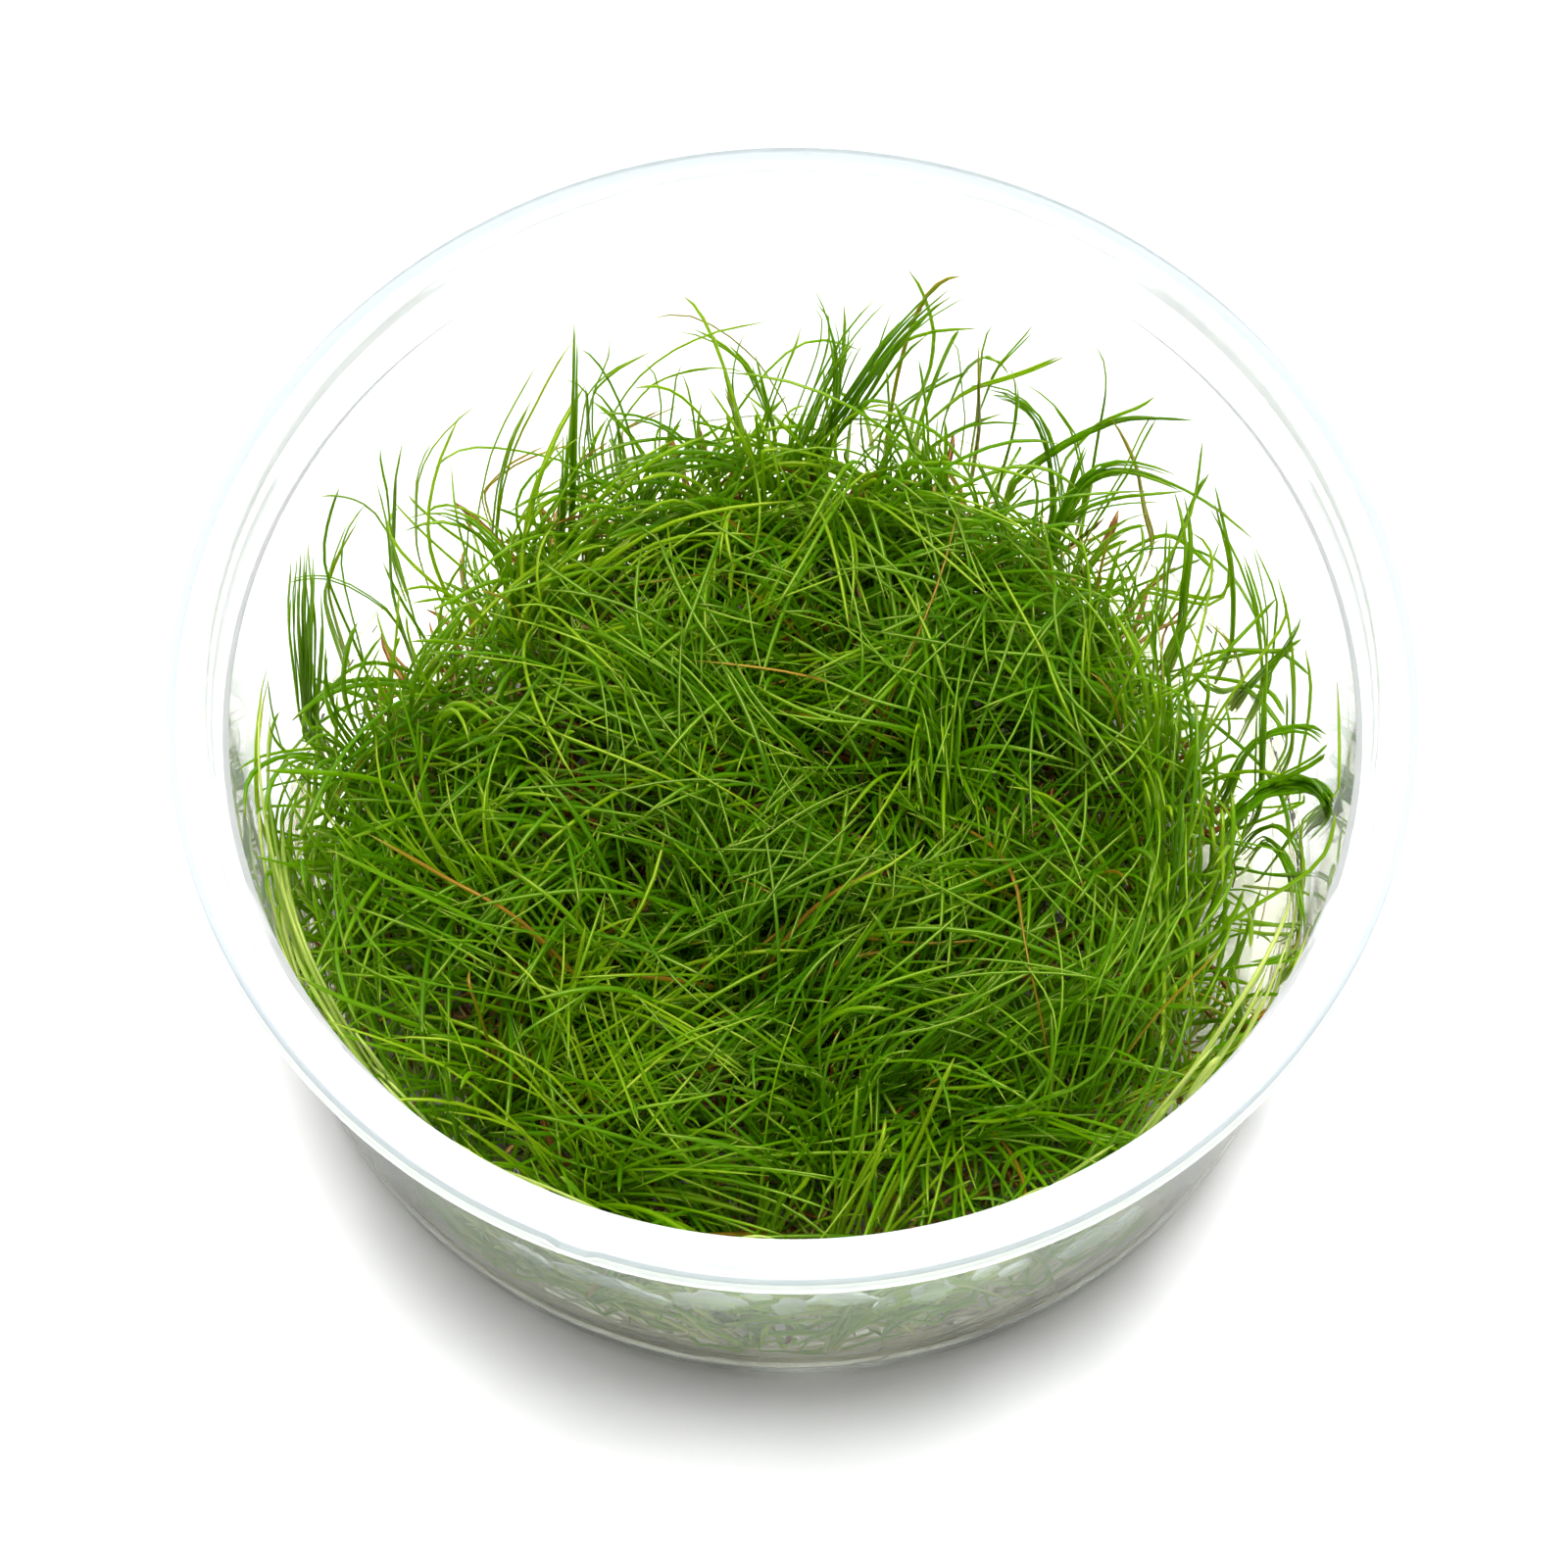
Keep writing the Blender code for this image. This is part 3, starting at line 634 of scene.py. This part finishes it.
def strands_mesh(name, paths, radii, tones, sides, flatness, rolls):
    """Lays the template along each path of an array (strand, ring, xyz), with its radii and its roll."""
    count, rings, _ = paths.shape
    points, faces = strand_template(sides, rings)
    ring_of = np.rint(points[:, 2] * (rings - 1)).astype(int)

    tangents = np.gradient(paths, axis=1)
    tangents /= np.linalg.norm(tangents, axis=2, keepdims=True) + TINY
    normals = np.zeros_like(tangents)
    first = np.cross(tangents[:, 0], np.array([0.31, 0.17, 0.93]))
    for ring in range(rings):
        first -= (first * tangents[:, ring]).sum(1, keepdims=True) * tangents[:, ring]
        first /= np.linalg.norm(first, axis=1, keepdims=True) + TINY
        normals[:, ring] = first
    binormals = np.cross(tangents, normals)
    turn, side = np.cos(rolls)[:, None, None], np.sin(rolls)[:, None, None]
    normals, binormals = normals * turn + binormals * side, binormals * turn - normals * side

    broad = points[None, :, 0, None] * normals[:, ring_of]
    thin = points[None, :, 1, None] * flatness * binormals[:, ring_of]
    verts = paths[:, ring_of] + (broad + thin) * radii[:, ring_of, None]

    mesh = bpy.data.meshes.new(name)
    mesh.vertices.add(count * len(points))
    mesh.vertices.foreach_set("co", np.float32(verts).ravel())
    sizes = np.array([len(face) for face in faces])
    corners = np.concatenate([np.array(face) for face in faces])
    shift = (np.arange(count) * len(points))[:, None]
    mesh.loops.add(count * len(corners))
    mesh.loops.foreach_set("vertex_index", np.int32(corners[None] + shift).ravel())
    starts = np.concatenate([[0], np.cumsum(sizes)[:-1]])
    loop_shift = (np.arange(count) * len(corners))[:, None]
    mesh.polygons.add(count * len(faces))
    mesh.polygons.foreach_set("loop_start", np.int32(starts[None] + loop_shift).ravel())
    mesh.polygons.foreach_set("loop_total", np.int32(np.tile(sizes, count)))
    mesh.update(calc_edges=True)
    mesh.validate()
    mesh.shade_smooth()

    per_vertex = {"along": np.tile(points[:, 2], count), "tone": np.repeat(tones, len(points))}
    for attribute, values in per_vertex.items():
        made = mesh.attributes.new(attribute, "FLOAT", "POINT")
        made.data.foreach_set("value", np.float32(values))
    return mesh


def leaf_radii(widths, rings):
    """A leaf is a little thinner at its root and runs out to a fine tip."""
    along = np.linspace(0.0, 1.0, rings)
    taper = np.minimum(1.0, 0.8 + 1.2 * along) * (1.0 - 0.85 * along**22)
    return widths[:, None] * taper[None]


def around(radius, angle, height):
    """Paths from the radius, angle and height of each of their points."""
    return np.stack([radius * np.cos(angle), radius * np.sin(angle), height], axis=2)


def reach_of(paths):
    return np.hypot(paths[..., 0], paths[..., 1])


def drawn_to_axis(paths, share):
    """Moves each point to this share of its distance from the axis, at the same height."""
    return paths * np.stack([share, share, np.ones_like(share)], axis=2)


def within_wall(paths, margin):
    """Moves points that are out past the wall back inside it."""
    limit = inner_radius(paths[..., 2]) - margin
    return drawn_to_axis(paths, np.minimum(1.0, limit / np.maximum(reach_of(paths), 1e-9)))


def crowding(azimuth):
    """How thickly the edge of the mat is grown, from 0 to 1, by its azimuth in degrees: the front is full."""
    return np.interp(azimuth, CROWD_AZIMUTHS, CROWD_SHARES)


def scattered(count, over, rng):
    """Places spread evenly over the mat, and so far over its edge where that is crowded."""
    angle = rng.uniform(0, math.tau, count)
    edge = MAT_EDGE + over * crowding(np.degrees(angle))
    reach = edge * np.sqrt(rng.uniform(0, 1, count))
    return reach * np.cos(angle), reach * np.sin(angle)


def keep_in_cup(paths, margin):
    """Moves points back inside the wall, under the height that leaves reach and over the gel."""
    reach = reach_of(paths)
    cap = highest(reach) - HEIGHT_SOFTNESS
    high = paths[..., 2] > cap
    pressed = cap + HEIGHT_SOFTNESS * np.tanh((paths[..., 2] - cap) / HEIGHT_SOFTNESS)
    paths[..., 2] = np.where(high, pressed, np.maximum(paths[..., 2], GEL_HIGH.z + 0.1 * MM))
    return within_wall(paths, margin)


def smooth(paths, rounds):
    for _ in range(rounds):
        paths[:, 1:-1] = 0.25 * paths[:, :-2] + 0.5 * paths[:, 1:-1] + 0.25 * paths[:, 2:]
    return paths


def curved_paths(roots, azimuth, drift, lean, bend, length, rings):
    """Curves that leave their roots at a lean from upright and bend over as they go."""
    share = np.linspace(0.0, 1.0, rings)
    mid = (share[1:] + share[:-1]) / 2
    leans = lean[:, None] + bend[:, None] * mid[None] ** 1.25
    turns = azimuth[:, None] + drift[:, None] * (mid[None] - 0.4 * np.sin(math.pi * mid[None]) ** 2)
    runs = np.stack([np.sin(leans) * np.cos(turns), np.sin(leans) * np.sin(turns), np.cos(leans)], axis=2)
    steps = runs * (length / (rings - 1))[:, None, None]
    return np.concatenate([roots[:, None], roots[:, None] + np.cumsum(steps, axis=1)], axis=1)


def crown_centre(name):
    """Where a plantlet stands: over the lowest point of its crown."""
    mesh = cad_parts[name].data
    points = np.empty(len(mesh.vertices) * 3)
    mesh.vertices.foreach_get("co", points)
    points = points.reshape(-1, 3)
    return points[points[:, 2].argmin()]


def draw_in(paths, rng):
    """Bends leaves up where they would hang over the mat's ragged edge, at the back and on the right."""
    azimuth = np.degrees(np.arctan2(paths[..., 1], paths[..., 0])) % 360
    edge = MAT_EDGE + EDGE_CROWD_REACH * crowding(azimuth)
    edge = edge + rng.uniform(*EDGE_WANDER, len(paths))[:, None] * MM
    reach = reach_of(paths)
    soft = EDGE_SOFTNESS
    bent = edge - soft + soft * np.tanh((reach - edge + soft) / soft)
    drawn = np.where(reach > edge - soft, bent, reach)
    return drawn_to_axis(paths, drawn / reach)


def plantlet_leaves(centre, grass, rng):
    """The paths, widths and tones of one plantlet's leaves, in tufts of much the same lean and bend."""
    reach = math.hypot(centre[0], centre[1])
    crowd = 1.0
    if reach > DENSE_RADIUS:
        crowd = float(crowding(math.degrees(math.atan2(centre[1], centre[0])) % 360))
    count = round(grass.sparse_leaves + (grass.leaves - grass.sparse_leaves) * crowd)
    tufts = max(4, count // TUFT_LEAVES)
    tuft = rng.integers(0, tufts, count)

    angle = rng.uniform(0, math.tau, tufts)
    away = (2.2 * MM + 3.4 * MM * crowd) * np.sqrt(rng.uniform(0, 1, tufts))
    arching = rng.uniform(0, 1, tufts) < ARCHING_SHARE
    azimuth = angle + rng.normal(0, 1.1, tufts)
    lean = np.where(arching, rng.uniform(2, 30, tufts), rng.uniform(10, 62, tufts))
    bend = np.where(arching, rng.uniform(45, 105, tufts), rng.uniform(0, 40, tufts))
    length = np.where(arching, rng.uniform(20, 35, tufts), rng.uniform(13, 27, tufts)) * MM
    drift = rng.normal(0, 0.5, tufts)
    # Leaves are lighter towards the edge of the mat: painted light on top of their own random tone
    painted_edge_light = EDGE_PAINTED_LIGHT * (reach / DENSE_RADIUS) ** 2
    tone = painted_edge_light + 0.7 * rng.uniform(0, 1, tufts) ** 1.6

    root_angle = rng.uniform(0, math.tau, count)
    root_away = TUFT_RADIUS * np.sqrt(rng.uniform(0, 1, count))
    across = centre[0] + away[tuft] * np.cos(angle[tuft]) + root_away * np.cos(root_angle)
    along = centre[1] + away[tuft] * np.sin(angle[tuft]) + root_away * np.sin(root_angle)
    roots = np.stack([across, along, np.full(count, GEL_HIGH.z - ROOT_DEPTH)], axis=1)
    paths = curved_paths(
        roots,
        azimuth[tuft] + rng.normal(0, 0.42, count),
        drift[tuft] + rng.normal(0, 0.35, count),
        np.radians(lean[tuft] + rng.normal(0, 9, count)),
        np.radians(bend[tuft] + rng.normal(0, 16, count)),
        length[tuft] * rng.uniform(0.55, 1.12, count),
        LEAF_RINGS,
    )
    free = rng.uniform(0, 1, count) < FREE_SHARE
    paths = np.where(free[:, None, None], paths, draw_in(paths, rng))
    widths = grass.radius * rng.uniform(0.75, 1.25, count)
    tones = np.clip(tone[tuft] + rng.normal(0, 0.12, count), 0.0, 0.82)
    dead = rng.uniform(0, 1, count) < DEAD_SHARE
    return paths, widths, np.where(dead, rng.uniform(0.9, 1.0, count), tones)


def seen_at(pixel, height):
    """The point at a height that the photograph's camera sees at a pixel."""
    right, down = ((value - PHOTO_SIZE / 2) / PHOTO_FOCAL for value in pixel)
    ray = CAMERA_FORWARD + Vector((1.0, 0.0, 0.0)) * right - CAMERA_UP * down
    return CAMERA_PLACE + ray * ((height - CAMERA_PLACE.z) / ray.z)


def inside_at(pixel, height):
    """The point that the camera sees at a pixel, moved along its ray until it is inside the wall."""
    point = seen_at(pixel, height)
    step = 0.25 * MM if point.y > 0 else -0.25 * MM
    while math.hypot(point.x, point.y) > inner_radius(height) - 0.4 * MM and 7 * MM < height < EDGE_HEIGHT:
        height += step
        point = seen_at(pixel, height)
    return point


def on_front_wall(pixel):
    """The point inside the wall in front that the camera sees at a pixel."""
    for height in np.arange(CUP_HIGH.z, GEL_HIGH.z, -0.1 * MM):
        point = seen_at(pixel, height)
        if math.hypot(point.x, point.y) < inner_radius(height):
            break
    return point


def smear_mesh():
    """Flat uneven drops of gel, each half sunk in the wall that it clings to, as one closed mesh each."""
    made = bmesh.new()
    for number, (x, y, width, height) in enumerate(SMEARS):
        drop = bmesh.ops.create_uvsphere(made, u_segments=28, v_segments=16, radius=1.0)["verts"]
        for vert in drop:
            angle = math.atan2(vert.co.z, vert.co.y)
            uneven = 1.0 + 0.2 * math.sin(2 * angle + 2.3 * number) + 0.12 * math.sin(5 * angle + number)
            vert.co.y *= uneven * width / 2 * MM
            vert.co.z *= uneven * height / 2 * MM
            vert.co.x *= SMEAR_THICKNESS
        place = on_front_wall((x, y))
        turn = Matrix.Rotation(math.atan2(place.y, place.x), 4, "Z")
        bmesh.ops.transform(made, matrix=Matrix.Translation(place) @ turn, verts=drop)
    for vert in made.verts:
        reach = math.hypot(vert.co.x, vert.co.y)
        squeeze = min(1.0, (inner_radius(vert.co.z) + 0.2 * MM) / reach)
        vert.co.x *= squeeze
        vert.co.y *= squeeze
    bmesh.ops.recalc_face_normals(made, faces=made.faces)
    return made


def traced_paths(row, grass, rng):
    """Leaves that pass the photograph's pixels, rooted in the gel under the first of them."""
    words = row.split()
    count = int(words[0])
    spread, low, high, tone = map(float, words[1:5])
    pixels = np.array([pair.split(",") for pair in words[5:]], dtype=float)
    place = np.concatenate([[0.0], np.cumsum(np.hypot(*np.diff(pixels, axis=0).T))])
    share = np.linspace(0.0, 1.0, TRACED_RINGS)
    across = np.interp(share, place / place[-1], pixels[:, 0])
    down = np.interp(share, place / place[-1], pixels[:, 1])
    heights = (low + (high - low) * share) * MM + TRACED_HUMP * np.sin(math.pi * share)
    seen = np.array([inside_at(pixel, height) for *pixel, height in zip(across, down, heights)])
    root = seen[0] * np.array([0.97, 0.97, 0.0]) + np.array([0.0, 0.0, GEL_HIGH.z - ROOT_DEPTH])
    rise = np.linspace(0.0, 1.0, 8)[:-1, None]
    line = smooth(np.concatenate([root + (seen[0] - root) * rise, seen])[None], 6)[0]
    run = np.concatenate([[0.0], np.cumsum(np.linalg.norm(np.diff(line, axis=0), axis=1))])

    cut = np.ones(1) if count == 1 else rng.uniform(0.72, 1.0, count)
    shares = np.linspace(0.0, 1.0, LEAF_RINGS)[None] * cut[:, None]
    paths = np.stack([np.interp(shares * run[-1], run, line[:, axis]) for axis in range(3)], axis=2)
    if count > 1:
        at_root = rng.normal(0, 0.8 * spread * MM, (count, 1, 3)) * np.array([1.0, 1.0, 0.1])
        at_tip = rng.normal(0, spread * MM, (count, 1, 3))
        paths = paths + at_root * (1 - shares[..., None]) + at_tip * shares[..., None]
    widths = grass.radius * rng.uniform(0.62, 0.95, count)
    # The row's tone carries painted light for the leaves at the right and the back
    tones = np.full(count, tone) + (rng.normal(0, 0.07, count) if tone < 0.85 else 0.0)
    return paths, widths, np.clip(tones, 0.0, 1.0)


def placed_leaves(grass):
    """For each sector, the plantlets in it and its leaves: theirs, the traced ones and the seedlings."""
    rng = np.random.default_rng(grass.seed)
    sectors = {sector: ([], []) for sector in SECTORS}
    for name in PLANTLETS:
        centre = crown_centre(name)
        nodes, leaves = sectors[sector_of(centre)]
        nodes.append(name)
        paths, widths, tones = plantlet_leaves(centre, grass, rng)
        leaves.append((smooth(keep_in_cup(paths, 0.4 * MM), 2), widths, tones))
    for row in TRACED.strip().splitlines():
        traced = traced_paths(row, grass, rng)
        sectors[sector_of(traced[0][0, 0])][1].append(traced)
    paths, widths, tones = seedlings(grass, rng)
    places = np.array([sector_of(path[0]) for path in paths])
    for name, (nodes, leaves) in sectors.items():
        here = places == name
        leaves.append((paths[here], widths[here], tones[here]))
    return sectors


def add_strands(name, strands, material, rng, nodes=(), margin=WALL_MARGIN):
    """Makes one piece of leaves from their paths, widths and tones, each turned a little about its length."""
    paths, widths, tones = strands
    paths = keep_in_cup(paths, margin)
    radii = leaf_radii(widths, paths.shape[1])
    rolls = rng.normal(0, 0.6, len(paths))
    flatness = bpy.context.scene.hairgrass_grass.flatness
    mesh = strands_mesh(name, paths, radii, tones, LEAF_SIDES, flatness, rolls)
    add_piece(name, mesh, material, nodes)


def sector_of(place):
    """The part of the mat that a place is in."""
    if math.hypot(place[0], place[1]) < MIDDLE_SECTOR_RADIUS:
        return "middle_right" if place[0] > 0 else "middle_left"
    if abs(place[0]) > abs(place[1]):
        return "right" if place[0] > 0 else "left"
    return "back" if place[1] > 0 else "front"


def seedlings(grass, rng):
    """Short leaves that come up between the plantlets."""
    count = grass.seedlings
    across, along = scattered(count, 7.0 * MM, rng)
    roots = np.stack([across, along, np.full(count, GEL_HIGH.z - ROOT_DEPTH)], axis=1)
    paths = curved_paths(
        roots,
        rng.uniform(0, math.tau, count),
        rng.normal(0, 0.6, count),
        np.radians(rng.uniform(5, 70, count)),
        np.radians(rng.uniform(0, 60, count)),
        rng.uniform(6, 15, count) * MM,
        LEAF_RINGS,
    )
    return paths, grass.radius * rng.uniform(0.6, 1.1, count), rng.uniform(0.0, 0.6, count)


def wall_leaves(grass, rng):
    """Leaves pressed against the wall in front and at the sides, which slant up it from the gel."""
    count = grass.wall_leaves
    share = np.linspace(0.0, 1.0, LEAF_RINGS)[None]
    start = np.radians(rng.uniform(*WALL_LEAF_AZIMUTHS, count))[:, None]
    sweep = rng.choice([-1.0, 1.0], count)[:, None] * rng.uniform(0.1, 0.62, count)[:, None]
    angle = start + sweep * share * (0.7 + 0.3 * share)
    top = rng.uniform(11, 31, count)[:, None] * MM
    base = GEL_HIGH.z - ROOT_DEPTH
    height = base + (top - base) * np.sin(share * rng.uniform(1.2, 2.2, count)[:, None])
    inset = rng.uniform(0.3, 2.6, count)[:, None] * MM * (1.0 + 0.8 * (1 - share) ** 2)
    radius = inner_radius(height) - inset
    paths = around(radius, angle, height)
    widths = grass.radius * rng.uniform(0.75, 1.15, count)
    return paths, widths, rng.uniform(0.0, 1.0, count)


def litter(grass, rng):
    """Old leaves and sheaths that lie on the gel among the crowns."""
    count = grass.litter
    across, along = scattered(count, 1.0 * MM, rng)
    roots = np.stack([across, along, rng.uniform(5.7, 9.0, count) * MM], axis=1)
    lean = np.radians(rng.uniform(60, 95, count))
    length = rng.uniform(3, 11, count) * MM
    paths = curved_paths(
        roots,
        rng.uniform(0, math.tau, count),
        rng.normal(0, 0.9, count),
        lean,
        np.radians(rng.normal(0, 18, count)),
        length,
        LITTER_RINGS,
    )
    return paths, grass.radius * rng.uniform(0.8, 1.9, count), rng.uniform(0.0, 1.0, count) ** 1.5


def root_paths(gel, rng):
    """Roots that wind round the foot of the cup close to the wall, some of them from over the gel."""
    count = gel.roots
    share = np.linspace(0.0, 1.0, ROOT_RINGS)[None]
    start = np.radians(rng.uniform(*ROOT_AZIMUTHS, count))[:, None]
    sweep = (rng.choice([-1.0, 1.0], count) * rng.uniform(0.12, 0.75, count))[:, None]
    angle = start + sweep * share + 0.02 * np.sin(9 * share + rng.uniform(0, 6, count)[:, None])
    height_start = rng.uniform(2.2, 10.5, count)[:, None] * MM
    height_end = rng.uniform(1.8, 4.5, count)[:, None] * MM
    height = height_start + (height_end - height_start) * share
    height = height + 0.35 * MM * np.sin(7 * share + rng.uniform(0, 6, count)[:, None])
    height = np.maximum(height, FLOOR_TOP + 0.4 * MM)
    inset = rng.uniform(0.0, 4.5, count)[:, None] * MM * (1.0 - 0.9 * share)
    radius = inner_radius(height) - inset - 0.45 * MM
    return around(radius, angle, height)


def root_felt_and_shade_paths(gel, rng):
    """The felt of roots in the gel under the mat, dark olive partly as old roots and partly as painted shade
    under the mat.
    """
    count = gel.felt
    across, along = scattered(count, 8.0 * MM, rng)
    roots = np.stack([across, along, rng.uniform(2.0, GEL_HIGH.z / MM - 0.8, count) * MM], axis=1)
    paths = curved_paths(
        roots,
        rng.uniform(0, math.tau, count),
        rng.normal(0, 1.4, count),
        np.radians(rng.normal(90, 3, count)),
        np.zeros(count),
        rng.uniform(5, 14, count) * MM,
        ROOT_RINGS,
    )
    paths[..., 2] = np.clip(paths[..., 2], FLOOR_TOP + 0.4 * MM, GEL_HIGH.z - ROOT_DEPTH)
    return within_wall(draw_in(paths, rng), 0.5 * MM)


class HAIRGRASS_OT_cup(bpy.types.Operator):
    """Turns the moulded cup and cuts the tear notch in its flange"""

    bl_idname = "hairgrass.cup"
    bl_label = "Cup"

    def execute(self, context):
        cup = context.scene.hairgrass_cup
        made = turned_mesh("cup", cup_profile(cup), CUP_STEPS)
        cut_notch(made)
        mesh = to_mesh(made, "moulded_cup")
        wall = milky_clear("moulded_polypropylene_wall", cup.haze, cup.tint)
        add_piece("moulded_cup", mesh, wall, ["cup"])
        # The flange and the bead get greyer copies of the milky finish as painted shade
        for part, tint in (("rim", cup.tint), ("flange", cup.flange_painted_shade), ("bead", cup.bead_painted_shade)):
            mesh.materials.append(milky_clear(f"moulded_polypropylene_{part}", cup.rim_haze, tint))
        for face in mesh.polygons:
            face.material_index = rim_part(face.center, cup)
        return {"FINISHED"}


class HAIRGRASS_OT_gel(bpy.types.Operator):
    """Turns the disc of set gel, which fills the foot of the cup, and smears some on the wall"""

    bl_idname = "hairgrass.gel"
    bl_label = "Gel"

    def execute(self, context):
        cup = context.scene.hairgrass_cup
        gel = context.scene.hairgrass_gel
        low = FLOOR_TOP - GEL_BITE
        corner = BASE_CORNER - cup.wall
        edge = inner_radius(GEL_HIGH.z) + GEL_BITE
        profile = [(0.0, GEL_HIGH.z), (edge, GEL_HIGH.z)]
        profile += arc((inner_radius(low) + GEL_BITE - corner, low + corner), corner, 0, -90, 8)
        profile.append((0.0, low))
        made = turned_mesh("gel", profile, CUP_STEPS // 2)
        add_piece("gel_disc", to_mesh(made, "gel_disc"), set_gel(gel.tint), ["nutrient_gel"])
        smears = to_mesh(smear_mesh(), "gel_smears", 80.0)
        add_piece("gel_smears", smears, milky_clear("smeared_gel", gel.smear_haze, "#eef6f0"))
        return {"FINISHED"}


class HAIRGRASS_OT_leaves(bpy.types.Operator):
    """Grows the leaves of the plantlets, as one piece for each part of the mat"""

    bl_idname = "hairgrass.leaves"
    bl_label = "Leaves"

    def execute(self, context):
        grass = context.scene.hairgrass_grass
        rng = np.random.default_rng(grass.seed + 1)
        fresh = leaf_material("fresh_wet_leaf")
        for name, (nodes, leaves) in placed_leaves(grass).items():
            strands = [np.concatenate(part) for part in zip(*leaves)]
            add_strands(f"leaves_{name}", strands, fresh, rng, nodes)
        # The leaves by the wall get the lighter copy of the leaf greens as painted light
        add_strands("wall_leaves", wall_leaves(grass, rng), leaf_material("wet_leaf_painted_lit"), rng)
        old = leaf_material("old_leaf")
        add_strands("old_leaves", litter(grass, rng), old, rng, margin=LITTER_MARGIN)
        return {"FINISHED"}


class HAIRGRASS_OT_roots(bpy.types.Operator):
    """Winds roots round the foot of the cup and lays the old ones in the gel, dark partly as painted shade"""

    bl_idname = "hairgrass.roots"
    bl_label = "Roots"

    def execute(self, context):
        gel = context.scene.hairgrass_gel
        rng = np.random.default_rng(11)
        paths = np.concatenate([root_paths(gel, rng), root_felt_and_shade_paths(gel, rng)])
        widths = np.repeat([gel.root_radius, 2.4 * gel.root_radius], [gel.roots, gel.felt])
        radii = widths[:, None] * np.linspace(1.0, 0.45, ROOT_RINGS)[None]
        # The felt takes the dark tones: partly old roots, partly painted shade under the mat
        tones = np.concatenate([rng.uniform(0.7, 1.0, gel.roots), rng.uniform(0.0, 0.45, gel.felt)])
        mesh = strands_mesh("roots", paths, radii, tones, ROOT_SIDES, 1.0, np.zeros(len(paths)))
        add_piece("roots", mesh, leaf_material("pale_root"))
        return {"FINISHED"}


class HAIRGRASS_OT_stage(bpy.types.Operator):
    """Lays the table and sets the light and the camera"""

    bl_idname = "hairgrass.stage"
    bl_label = "Table, light and camera"

    def execute(self, context):
        stage = context.scene.hairgrass_stage
        made = bmesh.new()
        bmesh.ops.create_grid(made, x_segments=1, y_segments=1, size=1.5)
        mesh = bpy.data.meshes.new("table")
        made.to_mesh(mesh)
        made.free()
        mesh.materials.append(plain_material("painted_table", stage.table, 0.9))
        link_object("table", mesh)

        world = bpy.data.worlds.new("studio")
        world.use_nodes = True
        world.node_tree.nodes.clear()
        direction = add_node(world, "ShaderNodeTexCoord").outputs["Generated"]
        height = add_node(world, "ShaderNodeSeparateXYZ", {"Vector": direction}).outputs["Z"]
        colour = ramp(world, height, {0.08: "#ffffee", 0.42: "#696969"})
        background = add_node(world, "ShaderNodeBackground", {"Color": colour, "Strength": stage.surround})
        add_node(world, "ShaderNodeOutputWorld", {"Surface": background.outputs[0]})
        context.scene.world = world

        lamp = bpy.data.lights.new("soft_box", "AREA")
        lamp.shape = "SQUARE"
        lamp.size = 0.55
        lamp.energy = stage.lamp
        soft_box = link_object("soft_box", lamp)
        soft_box.location = (0.0, 0.24, 0.73)
        soft_box.rotation_euler = (-soft_box.location).to_track_quat("-Z", "Y").to_euler()

        camera = bpy.data.cameras.new("camera")
        camera.sensor_width = 36.0
        camera.lens = camera.sensor_width * PHOTO_FOCAL / PHOTO_SIZE
        camera.clip_start = 0.01
        viewer = link_object("camera", camera)
        viewer.location = CAMERA_PLACE
        viewer.rotation_euler = (math.pi / 2 - CAMERA_ELEVATION, 0.0, 0.0)
        context.scene.camera = viewer
        context.scene.view_settings.view_transform = "Standard"
        return {"FINISHED"}


class HAIRGRASS_PT_panel(bpy.types.Panel):
    """Lists the settings and the steps"""

    bl_label = "Hairgrass cup"
    bl_idname = "HAIRGRASS_PT_panel"
    bl_space_type = "VIEW_3D"
    bl_region_type = "UI"
    bl_category = "Hairgrass cup"

    def draw(self, context):
        layout = self.layout
        for settings in SETTINGS:
            group = getattr(context.scene, settings)
            box = layout.box()
            for name in group.__annotations__:
                box.prop(group, name)
        for operator in OPERATORS:
            layout.operator(operator.bl_idname)


SETTINGS = {
    "hairgrass_cup": CupSettings,
    "hairgrass_gel": GelSettings,
    "hairgrass_grass": GrassSettings,
    "hairgrass_stage": StageSettings,
}
OPERATORS = (
    HAIRGRASS_OT_cup,
    HAIRGRASS_OT_gel,
    HAIRGRASS_OT_leaves,
    HAIRGRASS_OT_roots,
    HAIRGRASS_OT_stage,
)


def register():
    for name, group in SETTINGS.items():
        bpy.utils.register_class(group)
        setattr(bpy.types.Scene, name, PointerProperty(type=group))
    for operator in OPERATORS:
        bpy.utils.register_class(operator)
    bpy.utils.register_class(HAIRGRASS_PT_panel)


def unregister():
    bpy.utils.unregister_class(HAIRGRASS_PT_panel)
    for operator in reversed(OPERATORS):
        bpy.utils.unregister_class(operator)
    for name, group in SETTINGS.items():
        delattr(bpy.types.Scene, name)
        bpy.utils.unregister_class(group)


def main():
    register()
    bpy.ops.hairgrass.cup()
    bpy.ops.hairgrass.gel()
    bpy.ops.hairgrass.leaves()
    bpy.ops.hairgrass.roots()
    bpy.ops.hairgrass.stage()


if __name__ == "__main__":
    main()
